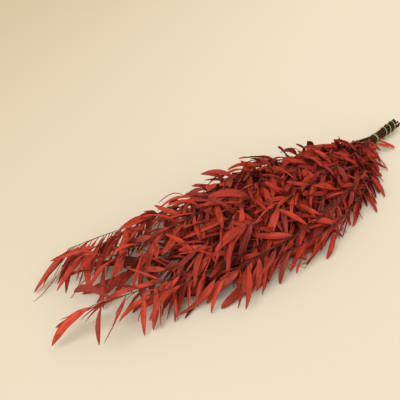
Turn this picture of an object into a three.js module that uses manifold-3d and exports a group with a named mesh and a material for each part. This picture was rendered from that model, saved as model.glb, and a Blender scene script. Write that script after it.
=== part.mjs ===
// A bunch of dried willow eucalyptus, lying on its side on a table.
//
// Twelve cut branches are held by two green elastic ties round their bare ends. Past the neck tie the
// stems fan out, each towards its own side of the bundle, and carry leafy sprays: side sprays along the
// stem and one that carries on from its end. A spray is a thin twig with keeled, lance-shaped leaves.
//
// Millimetres, +Z up. The branches are laid out from their cut ends at x = 0 towards -X, and the whole
// bunch is then moved so that its box stands on z = 0, centred on the Z axis.
import * as THREE from "three";
import { mergeVertices } from "three/addons/utils/BufferGeometryUtils.js";
import Module from "manifold-3d";

const wasm = await Module();
wasm.setup();

// ---------- driving dimensions ----------
const clearance = 0.35; // air kept between any two pieces
const stemRadius = 1.75; // of a stem at its cut end
const stemEndRadius = 1.1; // of a stem where its end spray carries on
const stemSides = 6;
const stemStep = 50; // length of one straight facet of a stem
const fanEase = 0.05; // how softly the stems start to fan out, 0 for at once
const outerStems = 9;

const neckAt = 66; // from the cut ends to the neck tie
const fanFrom = neckAt + 4; // where the stems start to fan out
const endSplay = 0.22; // how much wider the bundle is at the cut ends than at the neck
const neckHeight = 12.5; // of the bundle's middle at the neck
const endRise = 9; // how much higher its middle is at the cut ends
const cutStagger = 9; // how unevenly the ends are cut
const tieRadius = 0.8; // of the elastic cord
const tieSides = 6;
const neckTurns = 2;
const spiralFrom = 13; // from the cut ends
const spiralTo = 48;
const spiralTurns = 3;

const twigRadius = 0.95; // of a spray's twig where it starts
const twigEndRadius = 0.65;
const twigSides = 3;
const twigStations = [0, 0.2, 0.4, 0.6, 0.8, 1];
const firstSprayAt = neckAt + 18; // from the cut ends to the first side spray
const stemShare = 0.72; // share of a branch that is bare stem, the rest is its end spray
const sprayLength = 150;
const sprayAngle = 27; // degrees between a side spray and its stem
const spraySag = 18;

const leafSpacing = 5.3;
const edgeThinning = 0.3; // share of the leaves that are missing at the heap's edge
const nearLeafLength = 41; // of a usual leaf close to the neck
const farLeafLength = 62; // of a usual leaf at the tips of the longest branch
const nearLeafShare = 0.26; // width of a usual leaf close to the neck, as a share of its length
const farLeafShare = 0.17; // and at the tips of the longest branch
const leafKeel = 1.7; // depth of the keel under the blade
const stalkDepth = 0.35; // how far a leaf's stalk starts behind the middle of its twig
const widestAt = 0.42; // where a leaf is widest, as a share of its length from the stalk
const leafAngle = 48; // degrees between a leaf and its twig
const leafDroop = 0.7; // how strongly weight turns a leaf down
const edgeDroop = 1.8; // and how much more where it hangs over the near side
const floorGap = 0.6; // between the surface below and the lowest leaf tips
const bendStep = 6; // how much further aside each try bends an end twig that meets another piece

// The outline of the heap of leaves, at distances d from the cut ends: how far it reaches to the near
// side and to the far side at the floor, and how high it stands over the middle between them.
const outline = [
  { d: 60, near: -34, far: 14, high: 32 },
  { d: 100, near: -58, far: 10, high: 38 },
  { d: 150, near: -92, far: 10, high: 53 },
  { d: 220, near: -112, far: 42, high: 75 },
  { d: 290, near: -118, far: 70, high: 91 },
  { d: 360, near: -130, far: 75, high: 97 },
  { d: 455, near: -128, far: 77, high: 96 },
  { d: 530, near: -128, far: 81, high: 90 },
  { d: 575, near: -108, far: 80, high: 82 },
  { d: 605, near: -88, far: 72, high: 72 },
  { d: 650, near: -96, far: 74, high: 60 },
  { d: 695, near: -90, far: 90, high: 50 },
  { d: 750, near: -62, far: 94, high: 44 },
];

// One row for each branch: where its stem stands in the ring (degrees, 0 is +Y and 90 is up), its length
// to the end of its last twig, the sideways place and height that pull its middle, the sideways place
// and height of its end, and how many side sprays it has.
const branches = [
  { angle: 90, length: 646, pull: [-45, 124], end: [16, 42], sprays: 3 },
  { angle: 130, length: 590, pull: [-112, 116], end: [-48, 46], sprays: 3 },
  { angle: 170, length: 536, pull: [-166, 82], end: [-96, 44], sprays: 3 },
  { angle: 210, length: 500, pull: [-186, 58], end: [-104, 40], sprays: 3 },
  { angle: 250, length: 690, pull: [-118, 36], end: [-46, 58], sprays: 3 },
  { angle: 290, length: 606, pull: [-42, 10], end: [14, 12], sprays: 3 },
  { angle: 330, length: 500, pull: [28, 14], end: [74, 11], sprays: 2 },
  { angle: 10, length: 580, pull: [38, 50], end: [80, 24], sprays: 2 },
  { angle: 50, length: 674, pull: [8, 102], end: [56, 38], sprays: 3 },
  { angle: 110, length: 540, pull: [-72, 84], end: [-16, 34], sprays: 3 },
  { angle: 230, length: 618, pull: [-130, 50], end: [-68, 44], sprays: 3 },
  { angle: 350, length: 664, pull: [16, 58], end: [88, 32], sprays: 3 },
];

const bark = new THREE.MeshStandardMaterial({ color: 0x3a2320, roughness: 0.85, metalness: 0 });
const leaf = new THREE.MeshStandardMaterial({ color: 0x94302a, roughness: 0.6, metalness: 0 });
const elastic = new THREE.MeshStandardMaterial({ color: 0x7f9a5c, roughness: 0.55, metalness: 0 });

// ---------- small tools ----------
const down = new THREE.Vector3(0, 0, -1);
const up = new THREE.Vector3(0, 0, 1);
const radians = THREE.MathUtils.degToRad;
const mix = THREE.MathUtils.lerp;

// A number from 0 to 1 that looks random and is the same every time for the same keys.
function chance(...keys) {
  const weights = [12.9898, 78.233, 37.719, 51.123];
  const wave = Math.sin(keys.reduce((sum, key, i) => sum + (key + 1) * weights[i], 0)) * 43758.5453;
  return wave - Math.floor(wave);
}
const about = (usual, share, ...keys) => usual * (1 + share * (2 * chance(...keys) - 1));

// A geometry as a manifold-3d solid: corners merged and faces with no area left out.
function solidOf(geometry) {
  const bare = new THREE.BufferGeometry().setAttribute("position", geometry.getAttribute("position"));
  bare.setIndex(geometry.index);
  const merged = mergeVertices(bare, 1e-4);
  const corners = merged.index.array;
  const kept = [];
  for (let i = 0; i < corners.length; i += 3) {
    const [a, b, c] = corners.slice(i, i + 3);
    if (a !== b && b !== c && a !== c) kept.push(a, b, c);
  }
  return new wasm.Manifold(
    new wasm.Mesh({
      numProp: 3,
      vertProperties: merged.attributes.position.array,
      triVerts: new Uint32Array(kept),
    }),
  );
}

function geometryOf(solid) {
  const made = solid.getMesh();
  const points = new Float32Array(made.numVert * 3);
  for (let i = 0; i < made.numVert; i++) {
    points.set(made.vertProperties.subarray(i * made.numProp, i * made.numProp + 3), i * 3);
  }
  const geometry = new THREE.BufferGeometry();
  geometry.setAttribute("position", new THREE.BufferAttribute(points, 3));
  geometry.setIndex(new THREE.BufferAttribute(made.triVerts, 1));
  return geometry;
}

function meshOf(name, solid, material) {
  const mesh = new THREE.Mesh(geometryOf(solid), material.clone());
  mesh.name = name;
  return mesh;
}

// The largest of a solid's separate bodies.
function largest(solid) {
  return solid.decompose().reduce((best, body) => (body.volume() > best.volume() ? body : best));
}

// Two directions square to a tangent, the first one level wherever that is possible.
function acrossFrom(tangent) {
  const helper = Math.abs(tangent.z) > 0.95 ? new THREE.Vector3(1, 0, 0) : up;
  const side = new THREE.Vector3().crossVectors(helper, tangent).normalize();
  return [side, new THREE.Vector3().crossVectors(tangent, side).normalize()];
}

// A round, tapered rod with closed ends, turned straight on a lathe with a ring at each station (a share
// of its length) and then bent along a curve.
function rodAlong(curve, startRadius, endRadius, sides, stations) {
  const ring = (share) => new THREE.Vector2(mix(startRadius, endRadius, share), share);
  const profile = [new THREE.Vector2(0, 0), ...stations.map(ring), new THREE.Vector2(0, 1)];
  const rod = new THREE.LatheGeometry(profile, sides);
  const places = rod.getAttribute("position");
  for (let i = 0; i < places.count; i++) {
    const along = Math.min(1, Math.max(0, places.getY(i)));
    const [side, rise] = acrossFrom(curve.getTangent(along));
    const place = curve.getPoint(along);
    place.addScaledVector(side, places.getX(i));
    place.addScaledVector(rise, places.getZ(i));
    places.setXYZ(i, place.x, place.y, place.z);
  }
  const solid = solidOf(rod);
  return solid.volume() > 0 ? solid : solidOf(flipped(rod));
}

function flipped(geometry) {
  const turned = geometry.clone();
  const order = turned.index.array;
  for (let i = 0; i < order.length; i += 3) [order[i + 1], order[i + 2]] = [order[i + 2], order[i + 1]];
  return turned;
}

// ---------- the bundle of bare stem ends ----------
// Stems stand in two rings, three inside and nine outside, a clearance apart.
const pitch = stemRadius + clearance / 2;
const innerRing = (2 / Math.sqrt(3)) * pitch;
const outerRing = 3.06 * pitch;
const ringOf = (index) => (index < outerStems ? outerRing : innerRing);

// How far the splayed, rising bare ends are on their way from the neck, 0 at it and 1 at the cut ends.
const towardsEnds = (d) => Math.max(0, 1 - d / neckAt);
const bundleSplay = (d) => 1 + endSplay * towardsEnds(d);
const bundleHeight = (d) => neckHeight + endRise * towardsEnds(d);

// The point of a stem's centreline at a distance d from the cut ends.
function stemPoint(index, d) {
  const { angle, length, pull, end } = branches[index];
  const y0 = ringOf(index) * bundleSplay(d) * Math.cos(radians(angle));
  const z0 = bundleHeight(d) + ringOf(index) * bundleSplay(d) * Math.sin(radians(angle));
  const even = Math.max(0, (d - fanFrom) / (length - fanFrom));
  const t = ((1 + fanEase) * even * even) / (even + fanEase);
  const y = y0 * (1 - t) * (1 - t) + pull[0] * 2 * t * (1 - t) + end[0] * t * t;
  const z = z0 * (1 - t) * (1 - t) + pull[1] * 2 * t * (1 - t) + end[1] * t * t;
  return new THREE.Vector3(-d, y, z);
}

// A stem, or any stretch of one, as a curve whose share of the way is the share of the distance.
function stemCurve(index, from, to) {
  const curve = new THREE.Curve();
  curve.getPoint = (share) => stemPoint(index, mix(from, to, share));
  curve.getTangent = (share) => {
    const d = mix(from, to, share);
    return stemPoint(index, d + 1).sub(stemPoint(index, d - 1)).normalize();
  };
  return curve;
}

function makeStem(index) {
  const from = cutStagger * chance(index, 3);
  const to = branches[index].length * stemShare;
  const steps = Math.round((to - fanFrom) / stemStep);
  const rings = [from, neckAt, ...Array.from({ length: steps + 1 }, (_, i) => mix(fanFrom, to, i / steps))];
  const stations = rings.map((d) => (d - from) / (to - from));
  const rod = (extra) =>
    rodAlong(stemCurve(index, from, to), stemRadius + extra, stemEndRadius + extra, stemSides, stations);
  return { name: `stem_${String(index + 1).padStart(2, "0")}`, solid: rod(0), grown: rod(clearance) };
}

// ---------- the two elastic ties ----------
// A cord wound round the bundle as a helix, from one distance to another along it.
function makeTie(name, from, to, turns, stepsPerTurn) {
  const points = [];
  for (let i = 0; i <= turns * stepsPerTurn; i++) {
    const share = i / (turns * stepsPerTurn);
    const d = mix(from, to, share);
    const radius =
      (outerRing * bundleSplay(d) + stemRadius + tieRadius + clearance) / Math.cos(Math.PI / stepsPerTurn);
    const turn = 2 * Math.PI * turns * share;
    points.push(
      new THREE.Vector3(-d, radius * Math.cos(turn), bundleHeight(d) + radius * Math.sin(turn)),
    );
  }
  const section = new THREE.Shape();
  section.absarc(0, 0, tieRadius, 0, 2 * Math.PI);
  const cord = new THREE.ExtrudeGeometry(section, {
    steps: turns * stepsPerTurn,
    curveSegments: tieSides / 2,
    extrudePath: new THREE.CatmullRomCurve3(points),
  });
  return { name, solid: solidOf(cord) };
}

// ---------- leafy sprays ----------
// The outline of the heap at a distance d from the cut ends, between the two rows that hold it.
function outlineAt(d) {
  const next = Math.max(1, outline.findIndex((row) => row.d >= d) % outline.length);
  const [a, b] = [outline[next - 1], outline[next]];
  const share = Math.min(1, Math.max(0, (d - a.d) / (b.d - a.d)));
  return { near: mix(a.near, b.near, share), far: mix(a.far, b.far, share), high: mix(a.high, b.high, share) };
}

// How far out a point is: below 1 inside the heap's outline, above 1 outside it.
function outness(point) {
  const { near, far, high } = outlineAt(-point.x);
  const middle = (near + far) / 2;
  return Math.hypot((point.y - middle) / ((far - near) / 2), point.z / high);
}

// 0 well inside the heap's outline, 1 at it.
const edgeness = (point) => Math.min(1, Math.max(0, (outness(point) - 0.55) / 0.45));

// 0 in the middle of the heap or behind it, 1 at its near side.
function nearness(point) {
  const { near, far } = outlineAt(-point.x);
  return Math.min(1, Math.max(0, (near + far - 2 * point.y) / (far - near)));
}

// A leaf is a keeled blade with four corners: stalk, tip, left and right edge. The keel is the straight
// line from stalk to tip, and the two edges stand above it.
function leafSolid({ base, direction, side, length, width }) {
  const face = new THREE.Vector3().crossVectors(side, direction).normalize();
  const at = (along, across, rise) =>
    base.clone().addScaledVector(direction, along).addScaledVector(side, across).addScaledVector(face, rise);
  const blade = new THREE.BufferGeometry().setFromPoints([
    base,
    at(length, 0, 0),
    at(length * widestAt, width / 2, leafKeel),
    at(length * widestAt, -width / 2, leafKeel),
  ]);
  blade.setIndex([0, 2, 3, 1, 3, 2, 0, 1, 2, 1, 0, 3]);
  const solid = solidOf(blade);
  return solid.volume() > 0 ? solid : solidOf(flipped(blade));
}

// Whether every edge of a solid is long enough to live through rounding.
function isSound(solid) {
  const { vertProperties: at, triVerts } = solid.getMesh();
  return triVerts.every((a, i) => {
    const b = triVerts[i % 3 === 2 ? i - 2 : i + 1];
    return Math.hypot(at[3 * a] - at[3 * b], at[3 * a + 1] - at[3 * b + 1], at[3 * a + 2] - at[3 * b + 2]) > 0.01;
  });
}

// Everything placed so far, as { box, solid, piece }, which later twigs and leaves stay clear of.
const placed = [];

function boxOf(solid) {
  const { min, max } = solid.boundingBox();
  return new THREE.Box3(new THREE.Vector3(...min), new THREE.Vector3(...max));
}

function place(solid, piece) {
  placed.push({ box: boxOf(solid), solid, piece });
}

function isFree(solid, ignored) {
  const box = boxOf(solid).expandByScalar(clearance);
  return placed.every(
    (other) =>
      other.piece === ignored ||
      !other.box.intersectsBox(box) ||
      solid.minGap(other.solid, clearance) > 0.99 * clearance,
  );
}

// The directions a leaf or twig may turn to when its first place is taken, in degrees from it.
const turnsToTry = [0, 18, -18, 36, -36, 54, -54, 75, -75, 100, -100, 125, -125, 150, -150, 180];

// The curve of a side spray, leaving its stem on the side given by roll and bending back along it.
function sideCurve(index, order, roll, size) {
  const { length, sprays } = branches[index];
  const lastAt = length * (stemShare - 0.05);
  const at = mix(firstSprayAt, lastAt, (order + 0.5 * chance(index, order, 7)) / sprays);
  const start = stemPoint(index, at);
  const tangent = stemPoint(index, at + 5).sub(start).normalize();
  const [side, rise] = acrossFrom(tangent);
  const out = side.multiplyScalar(Math.cos(roll)).addScaledVector(rise, Math.sin(roll));
  const angle = radians(about(sprayAngle, 0.25, index, order, 11)) * Math.sqrt(size);
  const leave = tangent.clone().multiplyScalar(Math.cos(angle)).addScaledVector(out, Math.sin(angle));
  const reach = about(sprayLength, 0.18, index, order, 13) * size;
  const middle = start.clone().addScaledVector(leave, reach * 0.45);
  const end = middle.clone().addScaledVector(tangent.lerp(leave, 0.4).normalize(), reach * 0.55);
  end.z -= spraySag * size;
  middle.z = Math.max(middle.z, twigRadius + floorGap + 1);
  end.z = Math.max(end.z, twigRadius + floorGap + 3);
  return new THREE.QuadraticBezierCurve3(start, middle, end);
}

// The side of the stem that a spray leaves it on: away from the middle of the bunch, turned a little.
function outwardRoll(index, order) {
  const [y, z] = branches[index].pull;
  const outward = Math.atan2(z - 55, -(y + 56));
  return outward + radians(50) * (order % 2 ? 1 : -1) * (0.4 + chance(index, order, 5));
}

// The twig of a spray.
function makeTwig(index, order, stem) {
  const name = `spray_${String(index + 1).padStart(2, "0")}_${order + 1}`;
  const isEnd = order === branches[index].sprays;
  return { name, ...(isEnd ? findEndTwig(index, stem) : findSideTwig(index, order, stem)) };
}

// A curve that leaves another one slowly, to the side given by roll, and ends a distance away from it.
function bentAside(straight, roll, distance) {
  const [side, rise] = acrossFrom(straight.getTangent(1));
  const aside = side.multiplyScalar(Math.cos(roll)).addScaledVector(rise, Math.sin(roll));
  const curve = new THREE.Curve();
  curve.getPoint = (share) => straight.getPoint(share).addScaledVector(aside, distance * share * share);
  curve.getTangent = (share) => curve.getPoint(share + 0.005).sub(curve.getPoint(share - 0.005)).normalize();
  return curve;
}

// The twig of an end spray carries its stem on, and bends aside as little as it has to.
function findEndTwig(index, stem) {
  const { length } = branches[index];
  const straight = stemCurve(index, length * stemShare + clearance, length);
  for (let bends = 0; bends < 8; bends++) {
    for (const turn of turnsToTry) {
      const curve = bends ? bentAside(straight, radians(turn), bends * bendStep) : straight;
      const solid = rodAlong(curve, stemEndRadius, twigEndRadius, twigSides, twigStations);
      if (isFree(solid, stem.name) && isSound(solid)) return { curve, solid };
    }
  }
  throw new Error(`no room for the end spray of branch ${index + 1}`);
}

// The first side twig, over all sizes and turns, that stays inside the outline, clear of everything and
// sound. When there is none the outline may be crossed.
function findSideTwig(index, order, stem) {
  const first = outwardRoll(index, order);
  for (const limit of [0.88, 1.2, 2]) {
    for (const size of [1, 0.85, 0.7, 0.55, 0.4]) {
      for (const turn of turnsToTry) {
        const curve = sideCurve(index, order, first + radians(turn), size);
        if (outness(curve.v1) > limit || outness(curve.v2) > limit) continue;
        const rod = rodAlong(curve, twigRadius, twigEndRadius, twigSides, twigStations);
        if (!isFree(rod, stem.name)) continue;
        const solid = largest(rod.subtract(stem.grown));
        if (isSound(solid)) return { curve, solid };
      }
    }
  }
  throw new Error(`no room for side spray ${order + 1} of branch ${index + 1}`);
}

// Where a leaf would like to be: its base on the twig, turned round it by phyllotaxis and down by weight.
function leafPose(twig, index, order, number, count, turn, size) {
  const isLast = number === count - 1;
  const along = isLast ? 0.985 : mix(0.13, 0.95, number / (count - 1));
  const base = twig.curve.getPoint(along);
  const tangent = twig.curve.getTangent(along);
  const [side, rise] = acrossFrom(tangent);
  const keys = [index, order, number];
  const roll = Math.PI * number + radians(about(50, 0.9, ...keys, 1) - 50 + turn) + 0.35 * number;
  const angle = radians(isLast ? 6 + Math.abs(turn) / 4 : about(leafAngle, 0.55, ...keys, 2));
  const out = side.clone().multiplyScalar(Math.cos(roll)).addScaledVector(rise, Math.sin(roll) * 0.8);
  const direction = tangent.clone().multiplyScalar(Math.cos(angle)).addScaledVector(out, Math.sin(angle));
  const hang = edgeDroop * nearness(base) ** 2 * chance(...keys, 9);
  direction.addScaledVector(down, leafDroop * (1.5 * chance(...keys, 3) - 0.4) + hang).normalize();
  const toTips = Math.min(1, -base.x / 600);
  const usual = mix(nearLeafLength, farLeafLength, toTips);
  const length = about(usual, 0.3, ...keys, 4) * size * (isLast ? 1.1 : 1);
  const lowest = (floorGap + 0.9 - base.z) / length;
  if (direction.z < lowest) {
    const level = Math.hypot(direction.x, direction.y);
    const kept = Math.sqrt(1 - lowest * lowest) / level;
    direction.set(direction.x * kept, direction.y * kept, lowest);
  }
  const [level] = acrossFrom(direction);
  const twist = radians(70) * (2 * chance(...keys, 5) - 1);
  const across = level.applyAxisAngle(direction, twist);
  const width = length * about(mix(nearLeafShare, farLeafShare, toTips), 0.22, ...keys, 6);
  const edgeRoom = (base.z + direction.z * length * widestAt - floorGap - 1.2) / (width / 2 + leafKeel);
  const steepest = Math.max(0.05, Math.min(1, edgeRoom));
  if (Math.abs(across.z) > steepest) {
    across.z = Math.sign(across.z) * steepest;
    across.addScaledVector(direction, -across.dot(direction)).normalize();
  }
  base.addScaledVector(direction, -stalkDepth);
  return { base, direction, side: across, length, width };
}

// One leafy spray: the twig joined with every leaf that finds room on it, the end leaf first. Towards
// the heap's edge the leaves stand further apart.
function makeSpray(twig, index, order) {
  const count = Math.round(twig.curve.getLength() / leafSpacing) + 1;
  let solid = twig.solid;
  for (let number = count - 1; number >= 0; number--) {
    const missing = edgeThinning * edgeness(twig.curve.getPoint(number / count));
    if (number < count - 1 && chance(index, order, number, 10) < missing) continue;
    const found = findLeaf(twig, solid, index, order, number, count);
    if (found) {
      solid = found.joined;
      place(found.blade, twig.name);
    }
  }
  return solid;
}

// The first leaf, over all sizes and turns, that stays inside the outline and clear of everything.
function findLeaf(twig, solid, index, order, number, count) {
  const roomy = 0.94 + 0.24 * chance(index, order, number, 8) ** 2;
  for (const size of [1, 0.8, 0.64]) {
    for (const turn of turnsToTry) {
      const pose = leafPose(twig, index, order, number, count, turn, size);
      const tip = pose.base.clone().addScaledVector(pose.direction, pose.length);
      if (tip.z < floorGap || outness(tip) > roomy) continue;
      const blade = leafSolid(pose);
      if (!isFree(blade, `${twig.name}_twig`)) continue;
      const joined = solid.add(blade);
      if (joined.decompose().length === 1 && isSound(joined)) return { blade, joined };
    }
  }
  return null;
}

// ---------- the whole bunch ----------
const bunch = new THREE.Group();

const stems = branches.map((_, index) => makeStem(index));
for (const stem of stems) place(stem.solid, stem.name);

const ties = [
  makeTie("neck_tie", neckAt - tieRadius * 1.3 * neckTurns, neckAt + tieRadius * 1.3 * neckTurns, neckTurns, 12),
  makeTie("spiral_tie", spiralFrom, spiralTo, spiralTurns, 12),
];
for (const tie of ties) place(tie.solid, tie.name);

// End sprays come first, since they carry their stems on and can't turn aside.
const twigs = [];
for (const atEnd of [true, false]) {
  branches.forEach(({ sprays }, index) => {
    for (let order = atEnd ? sprays : 0; order < (atEnd ? sprays + 1 : sprays); order++) {
      const twig = makeTwig(index, order, stems[index]);
      place(twig.solid, `${twig.name}_twig`);
      twigs.push({ ...twig, index, order });
    }
  });
}

// Each branch is a group of its own: the stem and its sprays.
const branchGroups = stems.map((stem) => new THREE.Group().add(meshOf(stem.name, stem.solid, bark)));
for (const twig of twigs) {
  branchGroups[twig.index].add(meshOf(twig.name, makeSpray(twig, twig.index, twig.order), leaf));
}
bunch.add(...branchGroups);
for (const tie of ties) bunch.add(meshOf(tie.name, tie.solid, elastic));

const box = new THREE.Box3().setFromObject(bunch);
bunch.position.set(-(box.min.x + box.max.x) / 2, -(box.min.y + box.max.y) / 2, -box.min.z);

export default bunch;
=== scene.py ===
# %% [markdown]
# # A bunch of dried eucalyptus
#
# Twelve dyed branches of willow eucalyptus lie on a table, held at their bare ends by two green elastic
# ties. The solid model gives every stem, spray and tie its place and size. This notebook gives them
# their looks: real leaf blades that bend and fold, thin dark twigs, rough bark and a braided cord.
#
# We start by loading that solid model. Everything below takes its places from it.

import bpy
import numpy as np
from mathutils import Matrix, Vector


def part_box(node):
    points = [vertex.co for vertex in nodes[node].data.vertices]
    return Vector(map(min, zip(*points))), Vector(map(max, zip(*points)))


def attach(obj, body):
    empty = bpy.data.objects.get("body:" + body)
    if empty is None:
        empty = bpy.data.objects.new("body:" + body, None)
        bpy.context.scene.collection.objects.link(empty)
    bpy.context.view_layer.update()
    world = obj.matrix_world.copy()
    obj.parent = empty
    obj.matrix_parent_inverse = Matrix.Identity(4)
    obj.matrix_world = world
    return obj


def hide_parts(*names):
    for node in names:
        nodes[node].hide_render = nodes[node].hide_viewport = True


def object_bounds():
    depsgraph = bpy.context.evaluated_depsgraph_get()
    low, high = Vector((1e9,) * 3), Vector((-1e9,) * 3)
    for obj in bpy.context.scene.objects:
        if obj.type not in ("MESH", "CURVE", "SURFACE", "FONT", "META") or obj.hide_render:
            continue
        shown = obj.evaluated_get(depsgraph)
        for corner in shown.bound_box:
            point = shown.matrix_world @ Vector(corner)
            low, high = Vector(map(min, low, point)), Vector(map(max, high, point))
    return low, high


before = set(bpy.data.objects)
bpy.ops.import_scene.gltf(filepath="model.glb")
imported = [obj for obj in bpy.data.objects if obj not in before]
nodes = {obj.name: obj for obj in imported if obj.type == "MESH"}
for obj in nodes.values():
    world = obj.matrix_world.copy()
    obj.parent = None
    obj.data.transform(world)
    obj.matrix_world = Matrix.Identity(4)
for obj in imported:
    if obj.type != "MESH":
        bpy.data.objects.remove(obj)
solid_box = [list(corner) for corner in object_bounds()]
stem_names = sorted(name for name in nodes if name.startswith("stem_"))
spray_names = sorted(name for name in nodes if name.startswith("spray_"))
print(f"{len(stem_names)} stems, {len(spray_names)} sprays and {len(nodes)} nodes in all")

# %% [markdown]
# ## Reading a leaf back from the solid model
#
# In the solid model a leaf is a thin wedge with four corners: stalk, tip, and a left and a right edge
# that stand a little above the line from stalk to tip. We could keep a list of all the leaves here, but
# it would be long and could drift away from the solids. It is safer to read the leaves from the solids.
#
# The stalk's corner is nearly always hidden inside the twig, but the face between the tip and the two
# edges is whole, and it is a large triangle with two sides that are exactly alike. From its three corners
# and two sizes of the wedge the rest follows.
#
# The test has one known fault. On 15 of the 1,022 leaves the face at the stalk is whole too and passes
# it, so those leaves get a second, shorter blade that points back along the first. That makes 1,037.

# %% Find the leaves of a spray
WIDEST_AT = 0.42  # where a leaf is widest, as a share of its length from the stalk
KEEL_DEPTH = 0.0017  # how far the keel lies under the line between the two edges


def unit(vectors):
    """Each vector divided by its own length."""
    return vectors / np.linalg.norm(vectors, axis=-1, keepdims=True)


def mesh_arrays(node):
    """The corner places of a node's mesh, and its triangles as corner numbers."""
    mesh = nodes[node].data
    places = np.empty(len(mesh.vertices) * 3)
    mesh.vertices.foreach_get("co", places)
    mesh.calc_loop_triangles()
    triangles = np.empty(len(mesh.loop_triangles) * 3, dtype=int)
    mesh.loop_triangles.foreach_get("vertices", triangles)
    return places.reshape(-1, 3), triangles.reshape(-1, 3)


def find_leaves(node):
    """The leaves of a spray: stalk places, directions, side and face directions, lengths and widths.

    Side i of a triangle lies across from corner i. Where the two sides that meet at a corner differ by
    under 0.01 mm, and all three are longer than a twig is thick, that corner is a leaf's tip. With u the
    vector from the middle of the two edges to the tip, the keel's direction is u turned by the angle
    whose sine is the keel's depth over the length of u."""
    places, triangles = mesh_arrays(node)
    corners = places[triangles]
    found = []
    for tip in range(3):
        first, second = corners[:, (tip + 1) % 3], corners[:, (tip + 2) % 3]
        one = np.linalg.norm(first - corners[:, tip], axis=1)
        two = np.linalg.norm(second - corners[:, tip], axis=1)
        base = np.linalg.norm(first - second, axis=1)
        is_tip = (abs(one - two) < 1e-5) & (base > 2.7e-3) & (one > 1.2 * base)
        found.append(np.stack([corners[:, tip], first, second], axis=1)[is_tip])
    tips, first, second = np.concatenate(found).transpose(1, 0, 2)
    middle = (first + second) / 2
    face = unit(np.cross(first - tips, second - tips))
    toward = unit(tips - middle)
    reach = np.linalg.norm(tips - middle, axis=1, keepdims=True)
    sine = KEEL_DEPTH / reach
    cosine = np.sqrt(1 - sine**2)
    direction = cosine * toward + sine * face
    lengths = reach * cosine / (1 - WIDEST_AT)
    return {
        "stalk": tips - direction * lengths,
        "direction": direction,
        "face": cosine * face - sine * toward,
        "side": unit(first - second),
        "length": lengths[:, 0],
        "width": np.linalg.norm(first - second, axis=1),
    }


leaves_of = {name: find_leaves(name) for name in spray_names}
leaf_count = sum(len(leaves["length"]) for leaves in leaves_of.values())
lengths = np.concatenate([leaves["length"] for leaves in leaves_of.values()])
print(f"{leaf_count} leaves, {lengths.min() * 1000:.0f} to {lengths.max() * 1000:.0f} mm long")

# %% [markdown]
# ## Reading a stem's path
#
# A stem in the solid model is a six-sided rod made of straight facets, with a ring of corners every few
# centimetres. The rings stand clear of each other along X, so sorting the corners by X and cutting the
# list at each gap gives the rings. The middle of each ring is a point on the stem's centreline. A smooth
# curve through those points takes the kinks out.

# %% Find the stems' centrelines
RING_GAP = 0.0015  # corners closer together than this along X belong to one ring


def smooth_path(points, count):
    """A smooth curve through the points, as count places. Between two points it follows the
    Catmull-Rom formula: half of (2b + (c-a)s + (2a-5b+4c-d)s^2 + (3b-a-3c+d)s^3)."""
    padded = np.vstack([2 * points[0] - points[1], points, 2 * points[-1] - points[-2]])
    at = np.linspace(0, len(points) - 1, count)
    span = np.minimum(at.astype(int), len(points) - 2)
    s = (at - span)[:, None]
    a, b, c, d = (padded[span + i] for i in range(4))
    cubic = (3 * b - a - 3 * c + d) * s**3
    return (2 * b + (c - a) * s + (2 * a - 5 * b + 4 * c - d) * s**2 + cubic) / 2


def stem_line(node):
    """The middles of a stem's rings, from the cut end onwards."""
    places, _ = mesh_arrays(node)
    places = np.unique(np.round(places, 6), axis=0)[::-1]
    rings = np.split(places, np.flatnonzero(-np.diff(places[:, 0]) > RING_GAP) + 1)
    return np.array([ring.mean(axis=0) for ring in rings])


stem_lines = {name: smooth_path(stem_line(name), 60) for name in stem_names}
for name, line in stem_lines.items():
    print(f"{name}: {np.linalg.norm(np.diff(line, axis=0), axis=1).sum() * 1000:.0f} mm long")

# %% [markdown]
# ## Reading a twig's path
#
# Every leaf of a spray starts on its twig, so a curve fitted through the stalks is the twig. A twig bends
# only one way, which a curve of the second degree can do. Followed backwards, that curve reaches the
# stem, and the place where it comes closest to the stem's centreline is where the twig grows out.

# %% Fit the twigs
TWIG_RINGS = 14


def twig_line(node):
    """A twig's centreline: second-degree curves of the distance along the spray's long direction,
    from the nearest point of the stem to just past the last leaf, drawn onto the stem at its start."""
    stalks = leaves_of[node]["stalk"]
    stem = stem_lines["stem_" + node.split("_")[1]]
    centre = stalks.mean(axis=0)
    long_direction = np.linalg.svd(stalks - centre)[2][0]
    long_direction *= -np.sign(long_direction[0])
    along = (stalks - centre) @ long_direction
    fit = np.polynomial.polynomial.polyfit(along, stalks, 2)
    curve = lambda s: np.polynomial.polynomial.polyval(s, fit).T
    spread = np.ptp(along)
    tried = np.linspace(along.min() - 0.45 * spread, along.min(), 80)
    distances = np.linalg.norm(curve(tried)[:, None] - stem[None], axis=2)
    start, on_stem = np.unravel_index(distances.argmin(), distances.shape)
    line = curve(np.linspace(tried[start], along.max() + 0.01 * spread, TWIG_RINGS))
    ease = (1 - np.linspace(0, 1, TWIG_RINGS)[:, None]) ** 3
    return line + (stem[on_stem] - line[0]) * ease


twig_lines = {name: twig_line(name) for name in spray_names}
print(f"{len(twig_lines)} twigs fitted")

# %% [markdown]
# ## One way to make every surface
#
# Stems, twigs, leaves and cords are all the same kind of surface: a closed outline carried along a
# line. So one function makes them all. It takes the places on a grid, with one row of places for each
# outline, and closes both ends. It also stores a map of the surface (round it and along it) and a few
# numbers for each loft, which the materials read later.

# %% Make a mesh from lofts


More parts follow.
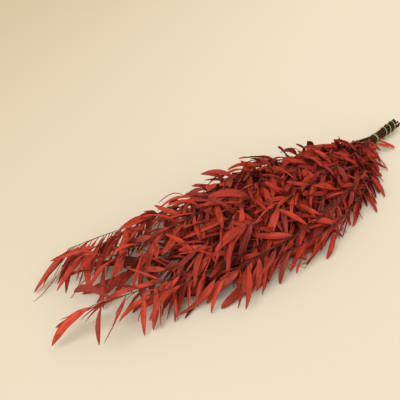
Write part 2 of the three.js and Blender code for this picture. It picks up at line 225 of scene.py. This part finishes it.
def loft_mesh(name, batches):
    """One mesh from batches of closed lofts. In a batch, points[i, j, k] is place k round outline j of
    loft i, across[k] and along[j] are its map, and traits are numbers for each loft. The four corners
    of a face are (j, k), (j, k+1), (j+1, k+1) and (j+1, k), and an end is one face."""
    places, quads, ends, maps, traits = [], [], [], [], []
    start = 0
    for batch in batches:
        points = batch["points"]
        lofts, rings, around = points.shape[:3]
        number = start + np.arange(lofts * rings * around).reshape(lofts, rings, around)
        ahead = np.roll(number, -1, axis=2)
        quads.append(
            np.stack([number[:, :-1], ahead[:, :-1], ahead[:, 1:], number[:, 1:]], axis=3).reshape(-1, 4)
        )
        ends += number[:, 0, ::-1].tolist() + number[:, -1].tolist()
        across, along = np.asarray(batch["across"]), np.asarray(batch["along"])
        here = np.broadcast_to(across[:-1], (rings - 1, around))
        there = np.broadcast_to(across[1:], (rings - 1, around))
        low = np.broadcast_to(along[:-1, None], (rings - 1, around))
        high = np.broadcast_to(along[1:, None], (rings - 1, around))
        corner_maps = np.stack([here, low, there, low, there, high, here, high], axis=2)
        maps.append(np.tile(corner_maps.reshape(-1, 2), (lofts, 1)))
        traits.append(np.repeat(np.asarray(batch["traits"]), rings * around, axis=0))
        places.append(points.reshape(-1, 3))
        start += number.size
    end_maps = [
        np.tile([[0.5, end]], (batch["points"].shape[0] * batch["points"].shape[2], 1))
        for batch in batches
        for end in (0.0, 1.0)
    ]
    mesh = bpy.data.meshes.new(name)
    mesh.from_pydata(np.concatenate(places), [], np.concatenate(quads).tolist() + ends)
    layer = mesh.uv_layers.new(name="surface")
    layer.data.foreach_set("uv", np.concatenate(maps + end_maps).ravel())
    for column, trait in enumerate(("tone", "shade", "heap_shade")):
        attribute = mesh.attributes.new(trait, "FLOAT", "POINT")
        attribute.data.foreach_set("value", np.concatenate(traits)[:, column])
    mesh.polygons.foreach_set("use_smooth", np.ones(len(mesh.polygons), dtype=bool))
    mesh.set_sharp_from_angle(angle=np.radians(70))
    return mesh


def make_piece(name, mesh, material, stands_for):
    """An object at the origin that rides on the bunch and stands for a node of the solid model."""
    piece = bpy.data.objects.new(name, mesh)
    bpy.context.scene.collection.objects.link(piece)
    mesh.materials.append(material)
    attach(piece, "root")
    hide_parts(stands_for)
    return piece


# %% [markdown]
# ## Shader maths as Python
#
# A material is a graph of small nodes. Wiring them by hand hides the formula, so a small class wraps a
# node's output and lets us write `1 - mask * 0.3`, which adds the Math nodes. One method adds any other
# node.

# %% Two small helpers for materials


class Number:
    """A number that varies over a surface. Its operators add Math nodes."""

    def __init__(self, recipe, socket):
        self.recipe, self.socket = recipe, socket

    def math(self, operation, *values):
        made = self.recipe.add("ShaderNodeMath", {"operation": operation}, dict(enumerate(values)))
        return Number(self.recipe, made.outputs[0])

    def __add__(self, other):
        return self.math("ADD", self, other)

    def __sub__(self, other):
        return self.math("SUBTRACT", self, other)

    def __rsub__(self, other):
        return self.math("SUBTRACT", other, self)

    def __mul__(self, other):
        return self.math("MULTIPLY", self, other)

    def __pow__(self, other):
        return self.math("POWER", self, other)

    __radd__, __rmul__ = __add__, __mul__

    def sine(self):
        return self.math("SINE", self)

    def size(self):
        return self.math("ABSOLUTE", self)

    def ramp(self, start, end):
        """0 below start, 1 above end and a soft step between them. It falls if start is above end."""
        settings = {"interpolation_type": "SMOOTHSTEP"}
        low, high, first, last = (start, end, 0, 1) if start < end else (end, start, 1, 0)
        made = self.recipe.add("ShaderNodeMapRange", settings, {0: self, 1: low, 2: high, 3: first, 4: last})
        return Number(self.recipe, made.outputs[0])


class Recipe:
    """A material being made."""

    def __init__(self, name):
        self.material = bpy.data.materials.new(name)
        self.material.use_nodes = True
        self.tree = self.material.node_tree
        self.shader = self.tree.nodes["Principled BSDF"]

    def add(self, kind, settings=None, inputs=None):
        """A node of one kind, its settings first and then the values or links of its sockets."""
        node = self.tree.nodes.new(kind)
        for key, value in (settings or {}).items():
            setattr(node, key, value)
        for key, value in (inputs or {}).items():
            self.feed(node.inputs[key], value)
        return node

    def feed(self, socket, value):
        """Sets a socket, or links it to a Number or to another node's output."""
        value = value.socket if isinstance(value, Number) else value
        if isinstance(value, bpy.types.NodeSocket):
            self.tree.links.new(value, socket)
        else:
            socket.default_value = value

    def finish(self, **inputs):
        for key, value in inputs.items():
            self.feed(self.shader.inputs[key.replace("_", " ")], value)
        return self.material

    def surface(self):
        """The two numbers of the surface map: across and along."""
        place = self.add("ShaderNodeUVMap", {"uv_map": "surface"})
        parts = self.add("ShaderNodeSeparateXYZ", inputs={0: place.outputs[0]})
        return Number(self, parts.outputs[0]), Number(self, parts.outputs[1])

    def trait(self, name):
        return Number(self, self.add("ShaderNodeAttribute", {"attribute_name": name}).outputs["Fac"])

    def along_bunch(self):
        """The place along the bunch in metres, growing towards the cut ends."""
        place = self.add("ShaderNodeTexCoord").outputs["Object"]
        return Number(self, self.add("ShaderNodeSeparateXYZ", inputs={0: place}).outputs[0])

    def noise(self, scale, detail=2.0, stretch=(1, 1, 1)):
        """Soft random spots, scale of them to a metre, drawn out along the axes by stretch."""
        place = self.add("ShaderNodeTexCoord").outputs["Object"]
        place = self.add("ShaderNodeMapping", inputs={"Vector": place, "Scale": stretch}).outputs[0]
        made = self.add("ShaderNodeTexNoise", inputs={"Vector": place, "Scale": scale, "Detail": detail})
        return Number(self, made.outputs[0])

    def mix(self, amount, first, second):
        """A colour from first to second as amount goes from 0 to 1."""
        inputs = {"Factor": amount, 6: first, 7: second}
        return self.add("ShaderNodeMix", {"data_type": "RGBA"}, inputs).outputs[2]

    def bump(self, height, distance, strength=1.0):
        inputs = {"Height": height, "Distance": distance, "Strength": strength}
        return self.add("ShaderNodeBump", inputs=inputs).outputs[0]


# %% [markdown]
# ## The dyed leaf
#
# Fresh willow eucalyptus is grey-green. These leaves were soaked in red dye and dried, so the colour is
# uneven: brick red on most blades, purple where the dye pooled, paler towards the tips of the branches,
# and brown at the stalk and at the very tip. Painted shade darkens each blade towards its rim, where the
# leaves shade each other, and browns the leaves deep in the heap, where those above shade them. A fine
# midrib runs down the middle, with faint side veins.
#
# The surface map gives the place across and along the blade, so the midrib is a band round the middle of
# the map and the veins are a slanted wave. Each leaf also carries its painted heap shade and two random
# numbers, tone and shade.

# %% Leaf material
BRICK = (0.34, 0.021, 0.007, 1)
BRIGHT = (0.46, 0.050, 0.016, 1)
CRIMSON = (0.19, 0.011, 0.007, 1)
PURPLE = (0.115, 0.017, 0.013, 1)
STALK_BROWN = (0.055, 0.012, 0.007, 1)
PAINTED_RIM_SHADE = (0.11, 0.010, 0.006, 1)
PAINTED_HEAP_SHADE = (0.045, 0.006, 0.004, 1)
PALE_RED = (0.50, 0.052, 0.024, 1)
FULL_TURN = 6.2832  # radians
VEINS = 26  # side veins from stalk to tip
VEIN_SLANT = 5


def leaf_material():
    recipe = Recipe("dyed leaf")
    across, along = recipe.surface()
    tone, shade = recipe.trait("tone"), recipe.trait("shade")
    from_midrib = (across - 0.5).size() * 2
    colour = recipe.mix(tone.ramp(0.1, 0.6), CRIMSON, BRICK)
    colour = recipe.mix(tone.ramp(0.7, 1.0) * 0.4, colour, BRIGHT)
    colour = recipe.mix(recipe.along_bunch().ramp(0.14, -0.22) * 0.5, colour, PALE_RED)
    colour = recipe.mix(shade.ramp(0.72, 0.95) * 0.7, colour, PURPLE)
    spots = recipe.noise(120, 5.0)
    colour = recipe.mix(spots.ramp(0.46, 0.68) * 0.6, colour, PURPLE)
    # Painted shade: each blade darkens towards its rim, where the leaves shade each other.
    colour = recipe.mix(from_midrib.ramp(0.6, 1.0) * 0.6, colour, PAINTED_RIM_SHADE)
    # Painted shade: leaves lying under many others turn brown.
    colour = recipe.mix(recipe.trait("heap_shade") * 0.8, colour, PAINTED_HEAP_SHADE)
    veins = ((along * VEINS - from_midrib * VEIN_SLANT) * FULL_TURN).sine() * 0.5 + 0.5
    colour = recipe.mix(veins * 0.14 * from_midrib.ramp(0.05, 0.3), colour, CRIMSON)
    midrib = from_midrib.ramp(0.13, 0.03)
    colour = recipe.mix(midrib * 0.45, colour, STALK_BROWN)
    colour = recipe.mix(along.ramp(0.12, 0.04), colour, STALK_BROWN)
    colour = recipe.mix(along.ramp(0.955, 0.99) * 0.8, colour, STALK_BROWN)
    height = midrib * 0.6 + veins * 0.12 + recipe.noise(700, 3.0) * 0.5
    return recipe.finish(
        Base_Color=colour,
        Roughness=0.55 + recipe.noise(240) * 0.2,
        Specular_IOR_Level=0.25,
        Normal=recipe.bump(height, 0.0004, 0.6),
    )


# %% [markdown]
# ## Bark, and the green elastic
#
# The stems are dried and dyed too, nearly black with a little red in them, and finely grooved along
# their length. They all run roughly along X, so noise that is drawn out along X makes the grooves.
#
# The ties are a light green elastic cord with a woven cover. Two waves that wind round the cord in
# opposite directions make the braid.

# %% Bark and elastic materials
BARK_DARK = (0.014, 0.006, 0.005, 1)
BARK_RED = (0.075, 0.015, 0.010, 1)
BARK_GREY = (0.07, 0.045, 0.036, 1)
WOOD = (0.22, 0.13, 0.08, 1)
ELASTIC = (0.26, 0.40, 0.13, 1)
ELASTIC_SHADE = (0.10, 0.17, 0.05, 1)
BRAID_ROUND = 4  # strands round the cord


def bark_material():
    recipe = Recipe("dried bark")
    _, along = recipe.surface()
    grooves = recipe.noise(900, 3.0, stretch=(0.12, 1, 1))
    colour = recipe.mix(grooves.ramp(0.35, 0.7), BARK_DARK, BARK_RED)
    colour = recipe.mix(recipe.noise(60).ramp(0.55, 0.75) * 0.5, colour, BARK_GREY)
    colour = recipe.mix(recipe.trait("tone") * 0.6, colour, BARK_RED)
    colour = recipe.mix(along.ramp(0.002, 0.0) * recipe.trait("shade"), colour, WOOD)
    normal = recipe.bump(grooves, 0.0006, 0.8)
    return recipe.finish(Base_Color=colour, Roughness=0.8, Specular_IOR_Level=0.2, Normal=normal)


def elastic_material():
    recipe = Recipe("green elastic")
    across, along = recipe.surface()
    strands = recipe.trait("tone")
    one = ((across * BRAID_ROUND + along * strands) * FULL_TURN).sine()
    two = ((across * BRAID_ROUND - along * strands) * FULL_TURN).sine()
    braid = one * two * 0.5 + 0.5
    colour = recipe.mix(braid, ELASTIC_SHADE, ELASTIC)
    return recipe.finish(Base_Color=colour, Roughness=0.6, Normal=recipe.bump(braid, 0.0003, 0.7))


LEAF, BARK, GREEN = leaf_material(), bark_material(), elastic_material()
print("materials:", ", ".join(material.name for material in (LEAF, BARK, GREEN)))

# %% [markdown]
# ## Leaves along the bare stems
#
# The solid model has leaves on its twigs only. On the real bunch single leaves also grow straight from
# the stems and hide them. They come here as extra blades with no solid of their own, and they belong to
# the nearest spray of the same branch. A leaf that would reach out of the heap is left out: its tip has
# to lie close to a tip, or to a point six tenths along, of a leaf of the solid model. Only near the neck
# may a few on the near side stand free.

# %% Add the stem leaves
STEM_LEAF_GAP = 0.0042  # between one stem leaf and the next
LEAFY_FROM = 0.077  # from the cut end
NECK_LEAVES_TO = 0.095  # up to here a few leaves stand out of the heap
HEAP_REACH = 0.014  # how far a stem leaf's tip may lie from the solid leaves
STEM_LEAF_SEED = 300
LEAF_CLEAR = 0.002  # a stem leaf's tip stays this high above the floor


def joined(many, key):
    return np.concatenate([leaves[key] for leaves in many])


solid_tips = np.concatenate(
    [
        leaves["stalk"] + leaves["direction"] * leaves["length"][:, None] * share
        for leaves in leaves_of.values()
        for share in (1.0, 0.6)
    ]
)


def stem_leaves(name, seed):
    """Leaves that grow from a stem. Each one's direction is the stem's own, turned outwards by an angle
    to a side that is drawn at random, and pulled down a little by its weight."""
    line = stem_lines[name]
    distance = np.concatenate([[0], np.cumsum(np.linalg.norm(np.diff(line, axis=0), axis=1))])
    places = np.arange(LEAFY_FROM, distance[-1], STEM_LEAF_GAP)
    random = np.random.default_rng(seed)
    places = places + random.uniform(-0.4, 0.4, len(places)) * STEM_LEAF_GAP
    stalk = np.stack([np.interp(places, distance, line[:, axis]) for axis in range(3)], axis=1)
    ahead = np.stack([np.interp(places + 0.004, distance, line[:, axis]) for axis in range(3)], axis=1)
    behind = np.stack([np.interp(places - 0.004, distance, line[:, axis]) for axis in range(3)], axis=1)
    tangent = unit(ahead - behind)
    level = unit(np.cross([0, 0, 1.0], tangent))
    rise = np.cross(tangent, level)
    roll, angle = (random.uniform(*span, (len(places), 1)) for span in ((0, 2 * np.pi), (0.5, 1.25)))
    outward = level * np.cos(roll) + rise * np.sin(roll)
    direction = unit(tangent * np.cos(angle) + outward * np.sin(angle) - [0, 0, 0.25])
    side = unit(np.cross(direction, [0, 0, 1.0]) + 0.7 * random.normal(0, 1, direction.shape))
    side = unit(side - direction * (side * direction).sum(axis=1, keepdims=True))
    to_tips = np.clip(places / 0.6, 0, 1)
    length = (0.040 + 0.018 * to_tips) * random.uniform(0.7, 1.15, len(places))
    width = length * (0.25 - 0.09 * to_tips) * random.uniform(0.8, 1.2, len(places))
    tips = stalk + direction * length[:, None]
    near = np.linalg.norm(tips[:, None] - solid_tips[None], axis=2).min(axis=1) < HEAP_REACH
    alone = (places < NECK_LEAVES_TO) & (direction[:, 1] < -0.45) & (direction[:, 2] < 0.15)
    kept = (near | alone) & (tips[:, 2] > LEAF_CLEAR)
    found = {"stalk": stalk, "direction": direction, "face": np.cross(side, direction), "side": side}
    found.update({"length": length, "width": width})
    return {key: value[kept] for key, value in found.items()}


# %% [markdown]
# ## Four leaves beside the neck tie
#
# A few bright leaves stick out on the near side of the neck tie. They grow from the stem on that side.

# %% Place the neck leaves
# Distance from the cut end, direction, length and width.
NECK_LEAVES = [
    (0.070, (0.75, -0.64, 0.15), 0.017, 0.0050),
    (0.068, (0.45, -0.86, -0.24), 0.035, 0.0100),
    (0.086, (0.66, -0.74, -0.11), 0.028, 0.0095),
    (0.090, (0.10, -0.90, -0.35), 0.017, 0.0080),
]


def neck_leaves(name):
    """The leaves of NECK_LEAVES, grown from one stem."""
    line = stem_lines[name]
    from_end, direction, length, width = (np.array(column) for column in zip(*NECK_LEAVES))
    at = solid_box[1][0] - from_end
    stalk = np.stack([at, *(np.interp(-at, -line[:, 0], line[:, axis]) for axis in (1, 2))], axis=1)
    direction = unit(direction)
    side = unit(np.cross(direction, [0, 0, 1.0]))
    found = {"stalk": stalk, "direction": direction, "face": np.cross(side, direction), "side": side}
    return {**found, "length": length, "width": width}


NECK_POINT = 10  # of a centreline's points, one near the neck
near_stem = min(stem_names, key=lambda name: stem_lines[name][NECK_POINT, 1])
near_spray = f"spray_{near_stem.split('_')[1]}_1"
extra = neck_leaves(near_stem)
leaves_of[near_spray] = {key: joined([leaves_of[near_spray], extra], key) for key in extra}

# %% Share the stem leaves among the sprays
for seed, name in enumerate(stem_names):
    more = stem_leaves(name, STEM_LEAF_SEED + seed)
    sprays = [spray for spray in spray_names if spray.split("_")[1] == name.split("_")[1]]
    roots = np.array([twig_lines[spray][0] for spray in sprays])
    nearest = np.linalg.norm(more["stalk"][:, None] - roots[None], axis=2).argmin(axis=1)
    for order, spray in enumerate(sprays):
        mine = {key: value[nearest == order] for key, value in more.items()}
        leaves_of[spray] = {key: joined([leaves_of[spray], mine], key) for key in mine}
blade_count = sum(len(leaves["length"]) for leaves in leaves_of.values())
print(f"{blade_count - leaf_count} leaves added along the stems")

# %% [markdown]
# ## The leaf blades
#
# A dried eucalyptus leaf is a narrow blade on a thin stalk. It folds a little along its midrib, bows
# under its own weight, sweeps sideways like a sickle, and twists as it dries. Leaves low on the branch
# are short and oval, and those near its tip are long and pointed.
#
# One could model a single leaf and copy it, but then every leaf would be the same. Instead each blade
# is worked out from its own place, length and width, plus a few random numbers from a fixed seed. Its
# outline is six points round a thin section: two edges, three places on top and one below the midrib.

# %% Bend a blade for every leaf
LEAF_STATIONS = np.array([0, 0.07, 0.15, 0.27, 0.41, 0.56, 0.71, 0.85, 0.95, 1.0])
LEAF_ACROSS = [0, 0.25, 0.5, 0.75, 1, 0.5, 0]
STALK_SHARE = 0.09  # of a leaf's length
STALK_HALF_WIDTH = 0.0005
BLADE_THICKNESS = 0.0004
FLOOR_ROOM = 0.0035  # below this height a blade is pressed flat towards the floor
THREAD_SHARE = 0.13  # of the leaves, dried to thin curls
COVER_REACH = 0.022  # sideways, for a leaf to count as covering another
COVER_ABOVE = 0.004  # how much higher it has to be
UNSHADED_COVERS, FULL_SHADE_COVERS = 6, 26  # covers of an unshaded leaf and of one under full painted shade


def above_floor(points):
    """Heights under FLOOR_ROOM shrink towards the floor without ever reaching it:
    room times e to the power (height - room) / room."""
    height = points[..., 2]
    pressed = FLOOR_ROOM * np.exp(np.minimum(height - FLOOR_ROOM, 0) / FLOOR_ROOM)
    points[..., 2] = np.where(height < FLOOR_ROOM, pressed, height)
    return points


def heap_shade_of(middles):
    """How much painted shade a leaf gets, 0 to 1, browning it as if shaded by the leaves above. It follows
    how many solid leaves have a point above the leaf's middle, not further aside than COVER_REACH."""
    aside = np.linalg.norm(middles[:, None, :2] - solid_tips[None, :, :2], axis=2)
    above = solid_tips[None, :, 2] > middles[:, None, 2] + COVER_ABOVE
    covers = (above & (aside < COVER_REACH)).sum(axis=1)
    return np.clip((covers - UNSHADED_COVERS) / (FULL_SHADE_COVERS - UNSHADED_COVERS), 0, 1)


def leaf_batch(leaves, seed):
    """The blades of one spray.

    The midrib is the straight line from stalk to tip plus a bow, sin(pi s), upwards and sideways. The
    half width is a stalk and then sin(pi t^lean) to a power that is small for oval leaves and near 1
    for pointed ones. The section turns about the midrib by an even twist. A thread is the same blade,
    longer, much narrower and more strongly bowed."""
    count = len(leaves["length"])
    random = np.random.default_rng(seed)
    draw = lambda low, high: random.uniform(low, high, count)[:, None]
    is_thread = draw(0, 1) < THREAD_SHARE
    length, width = leaves["length"][:, None] * np.where(is_thread, 1.15, 1), leaves["width"][:, None]
    direction, side, face = (leaves[key][:, None] for key in ("direction", "side", "face"))
    s = LEAF_STATIONS[None]

    bow = draw(-0.02, 0.14) * np.where(is_thread, 2.4, 1)
    sweep = draw(-0.09, 0.09) * np.where(is_thread, 2.8, 1)
    twist = draw(-1.5, 1.5)
    upward = np.array([0, 0, 1.0]) - direction * direction[..., 2:]
    arch = np.sin(np.pi * s)[..., None] * length[..., None]
    midrib = leaves["stalk"][:, None] + direction * (s * length)[..., None]
    midrib = midrib + arch * (upward * bow[..., None] + side * sweep[..., None])
    tangent = unit(np.gradient(midrib, axis=1))

    blade = np.clip((s - STALK_SHARE) / (1 - STALK_SHARE), 0, 1)
    slimness = np.clip(0.13 / (width / length), 0.42, 0.9) * draw(0.8, 1.15)
    outline = np.sin(np.pi * blade ** draw(0.75, 1.0)) ** slimness
    widest = width / 2 * np.where(is_thread, 0.22, draw(0.6, 1.0))
    half = STALK_HALF_WIDTH + outline * (widest - STALK_HALF_WIDTH)
    half = half * np.where(s == 1, 0.3, 1)
    fold = KEEL_DEPTH * draw(0.3, 2.0) * outline * np.where(is_thread, 0.5, 1)

    turn = (twist * (s - WIDEST_AT))[..., None]
    across = unit(side - tangent * (side * tangent).sum(axis=-1, keepdims=True))
    raised = np.cross(across, tangent)
    across, raised = (
        across * np.cos(turn) + raised * np.sin(turn),
        raised * np.cos(turn) - across * np.sin(turn),
    )
    edge_wave = 0.12 * half * np.sin(2 * np.pi * (s * draw(1, 2.5) + draw(0, 1)))
    thick = BLADE_THICKNESS / 2 + (STALK_HALF_WIDTH - BLADE_THICKNESS / 2) * (blade < 0.01)
    sideways = np.stack([-half, -half / 2, 0 * half, half / 2, half, 0 * half], axis=2)
    level = fold[..., None] * np.array([1, 0.62, 0, 0.62, 1, 0])
    level = level + edge_wave[..., None] * np.array([1, 0.2, 0, -0.2, -1, 0])
    level = level + thick[..., None] * np.array([0, 1, 1, 1, 0, -1])
    points = midrib[:, :, None] + across[:, :, None] * sideways[..., None]
    points = points + raised[:, :, None] * level[..., None]
    random_traits = random.uniform(0, 1, (count, 2))
    return {
        "points": above_floor(points),
        "across": LEAF_ACROSS,
        "along": LEAF_STATIONS,
        "traits": np.column_stack([random_traits, heap_shade_of(midrib[:, 4])]),
    }


for seed, name in enumerate(spray_names):
    mesh = loft_mesh(name + "_leaves", [leaf_batch(leaves_of[name], seed)])
    make_piece(name + "_leaves", mesh, LEAF, name)
print(f"{blade_count} blades of {(len(LEAF_STATIONS) - 1) * 6 + 2} faces in {len(spray_names)} pieces")

# %% [markdown]
# ## Stems and twigs
#
# A stem tapers from its cut end to its tip. It swells a little where a twig or leaf once grew, every
# few centimetres, and is never quite straight. The twigs are the same shape, only thinner. A round
# section carried along the centreline makes both, and a branch's stem and twigs are one piece, because
# they grew together.

# %% Grow the branches
STEM_RADII = 0.0017, 0.0008  # at the cut end and at the tip
TWIG_RADII = 0.0008, 0.0004  # at the stem and at the tip
STEM_SIDES, TWIG_SIDES = 10, 6
STEM_BUMPS, TWIG_BUMPS = 11, 6
STEM_WOBBLE, TWIG_WOBBLE = 0.0010, 0.0003
STEM_RINGS = 110
TWIG_SEED = 100
STEM_TRAITS = [0.0, 1.0, 0.0]  # tone, shade and painted heap shade; shade 1 shows bare wood at the cut end
TWIG_TRAITS = [0.5, 0.0, 0.0]


def tube_batch(lines, radii, sides, seed, bumps, wobble, traits):
    """Round tubes along lines. The radius goes from start to end with the square root of the distance,
    so it falls fastest at first. It is swollen by bumps that are a narrow power of a cosine, and the
    centreline wanders by two slow sine waves."""
    random = np.random.default_rng(seed)
    s = np.linspace(0, 1, lines.shape[1])[None]
    lofts = len(lines)
    tangent = unit(np.gradient(lines, axis=1))
    side = unit(np.cross([0, 0, 1.0], tangent))
    rise = np.cross(tangent, side)
    phase = random.uniform(0, 2 * np.pi, (4, lofts, 1))
    fade = np.sin(np.pi * s)
    wander = wobble * fade * (np.sin(9 * s + phase[0]) + 0.5 * np.sin(23 * s + phase[1]))
    lift = wobble * fade * (np.sin(11 * s + phase[2]) + 0.5 * np.sin(19 * s + phase[3]))
    lines = lines + side * wander[..., None] + rise * lift[..., None]
    swelling = 1 + 0.28 * np.abs(np.cos(np.pi * (bumps * s + phase[0]))) ** 24
    radius = (radii[0] + (radii[1] - radii[0]) * s**0.5) * swelling
    angle = np.linspace(0, 2 * np.pi, sides, endpoint=False)
    out = side[:, :, None] * np.cos(angle)[:, None] + rise[:, :, None] * np.sin(angle)[:, None]
    return {
        "points": above_floor(lines[:, :, None] + out * radius[:, :, None, None]),
        "across": np.linspace(0, 1, sides + 1),
        "along": s[0],
        "traits": np.tile(traits, (lofts, 1)),
    }


for seed, name in enumerate(stem_names):
    number = name.split("_")[1]
    twigs = np.array([twig_lines[spray] for spray in spray_names if spray.split("_")[1] == number])
    stem = smooth_path(stem_lines[name], STEM_RINGS)[None]
    batches = [
        tube_batch(stem, STEM_RADII, STEM_SIDES, seed, STEM_BUMPS, STEM_WOBBLE, STEM_TRAITS),
        tube_batch(twigs, TWIG_RADII, TWIG_SIDES, TWIG_SEED + seed, TWIG_BUMPS, TWIG_WOBBLE, TWIG_TRAITS),
    ]
    make_piece(f"branch_{number}", loft_mesh(f"branch_{number}", batches), BARK, name)
print(f"{len(stem_names)} branches with {len(twig_lines)} twigs")

# %% [markdown]
# ## The two elastic ties
#
# The cord is wound tightly twice round the neck, and loosely three times round the bare ends. A screw
# line is a circle that moves along its axis as it turns. The solid ties say where each coil starts and
# ends, and the stems inside it say where its middle is and how wide it has to be.

# %% Wind the ties
CORD_RADIUS = 0.0007
CORD_SIDES = 10
STRAND_LENGTH = 0.003  # of cord to one strand of the braid
TIES = (("neck_tie", 2, 120), ("spiral_tie", 3, 180))  # name, turns and points along the coil


def coil(node, turns, count):
    """A screw line from one end of the tie's box to the other. At each X its middle is the middle of
    all the stems there, and its radius reaches just past the outermost stem."""
    low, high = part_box(node)
    s = np.linspace(0, 1, count)
    x = high[0] - CORD_RADIUS + (low[0] - high[0] + 2 * CORD_RADIUS) * s
    there = np.array(
        [
            [np.interp(-x, -line[:, 0], line[:, axis]) for axis in (1, 2)]
            for line in (stem_lines[name] for name in stem_names)
        ]
    )
    middle = there.mean(axis=0)
    reach = np.linalg.norm(there - middle, axis=1).max(axis=0)
    radius = reach + STEM_RADII[0] + CORD_RADIUS
    turn = 2 * np.pi * turns * s
    return np.stack([x, middle[0] + radius * np.cos(turn), middle[1] + radius * np.sin(turn)], axis=1)


def cord_batch(line, sides):
    """A round cord along a line that may stand upright: its section is square to the tangent and to
    the direction from the bundle's axis."""
    tangent = unit(np.gradient(line, axis=0))
    outward = line - line.mean(axis=0)
    outward[:, 0] = 0
    outward = unit(outward - tangent * (outward * tangent).sum(axis=1, keepdims=True))
    beside = np.cross(tangent, outward)
    angle = np.linspace(0, 2 * np.pi, sides, endpoint=False)[:, None]
    ring = outward[:, None] * np.cos(angle) + beside[:, None] * np.sin(angle)
    strands = np.linalg.norm(np.diff(line, axis=0), axis=1).sum() / STRAND_LENGTH
    return {
        "points": (line[:, None] + ring * CORD_RADIUS)[None],
        "across": np.linspace(0, 1, sides + 1),
        "along": np.linspace(0, 1, len(line)),
        "traits": [[strands, 0.0, 0.0]],
    }


for name, turns, count in TIES:
    cord = loft_mesh(name + "_cord", [cord_batch(coil(name, turns, count), CORD_SIDES)])
    make_piece(name + "_cord", cord, GREEN, name)
print(f"{len(TIES)} ties wound")

# %% [markdown]
# ## Table, light and camera
#
# The bunch lies on a wide, pale beige paper sweep. Painted shade makes it a little darker and warmer towards
# the far left, where the light falls off. The main light is large and soft, like a window, and stands on the
# side of the leafy tips, so shadows fall towards the cut ends. A second one comes in low from the near side,
# wider and warmer, and a warm sky fills the shadows in. Suns with wide discs do that evenly over the whole
# sweep.

# %% Stage
PAPER = (0.565, 0.550, 0.478, 1)
PAINTED_FALLOFF_PAPER = (0.430, 0.384, 0.277, 1)
HALF_SWEEP = 5
SKY, SKY_STRENGTH = (1, 0.78, 0.56, 1), 0.76


def floor_material():
    recipe = Recipe("paper sweep")
    place = recipe.add("ShaderNodeTexCoord").outputs["Object"]
    parts = recipe.add("ShaderNodeSeparateXYZ", inputs={0: place})
    x, y = Number(recipe, parts.outputs[0]), Number(recipe, parts.outputs[1])
    # Painted shade: the paper darkens and warms towards the far left, where the light falls off.
    away = (y - x * 0.5).ramp(0.0, 1.3)
    return recipe.finish(Base_Color=recipe.mix(away, PAPER, PAINTED_FALLOFF_PAPER), Roughness=0.9)


floor_mesh = bpy.data.meshes.new("sweep")
floor_signs = ((-1, -1), (1, -1), (1, 1), (-1, 1))
floor_corners = [(x * HALF_SWEEP, y * HALF_SWEEP, 0) for x, y in floor_signs]
floor_mesh.from_pydata(floor_corners, [], [(0, 1, 2, 3)])
floor_mesh.materials.append(floor_material())
floor = bpy.data.objects.new("sweep", floor_mesh)
bpy.context.scene.collection.objects.link(floor)


def soft_sun(name, origin, width, strength, colour):
    """A sun that shines from an origin towards the bunch, its disc as many degrees wide as given."""
    data = bpy.data.lights.new(name, "SUN")
    data.angle, data.energy, data.color = np.radians(width), strength, colour
    lamp = bpy.data.objects.new(name, data)
    lamp.rotation_mode = "QUATERNION"
    lamp.rotation_quaternion = Vector(origin).to_track_quat("Z", "Y")
    bpy.context.scene.collection.objects.link(lamp)


soft_sun("window", (-0.62, -0.18, 0.76), 34, 2.5, (1, 0.99, 0.97))
soft_sun("fill", (-0.45, -0.8, 0.42), 70, 1.5, (1, 0.93, 0.84))
world = bpy.data.worlds.new("room")
world.use_nodes = True
background = world.node_tree.nodes["Background"]
background.inputs["Color"].default_value = SKY
background.inputs["Strength"].default_value = SKY_STRENGTH
bpy.context.scene.world = world

# %% [markdown]
# The camera has a 55 mm lens. Turning it round the bunch by an angle, raising it by another and backing
# away along that line sets its place.

# %% Camera
AIM = Vector((-0.0734, 0.0688, 0.0412))
TURN, RISE, DISTANCE = np.radians(-40.7), np.radians(38), 0.915
away = Vector((np.sin(TURN) * np.cos(RISE), -np.cos(TURN) * np.cos(RISE), np.sin(RISE)))
lens = bpy.data.cameras.new("camera")
lens.lens, lens.sensor_width, lens.clip_start = 55, 36, 0.01
camera = bpy.data.objects.new("camera", lens)
camera.location = AIM + away * DISTANCE
camera.rotation_mode = "QUATERNION"
camera.rotation_quaternion = (-away).to_track_quat("-Z", "Y")
bpy.context.scene.collection.objects.link(camera)
bpy.context.scene.camera = camera
bpy.context.scene.view_settings.view_transform = "Standard"

# %% [markdown]
# Last, we print how large the solid model is.

# %% Measure and finish
print("solid:", np.round(solid_box, 4).tolist())
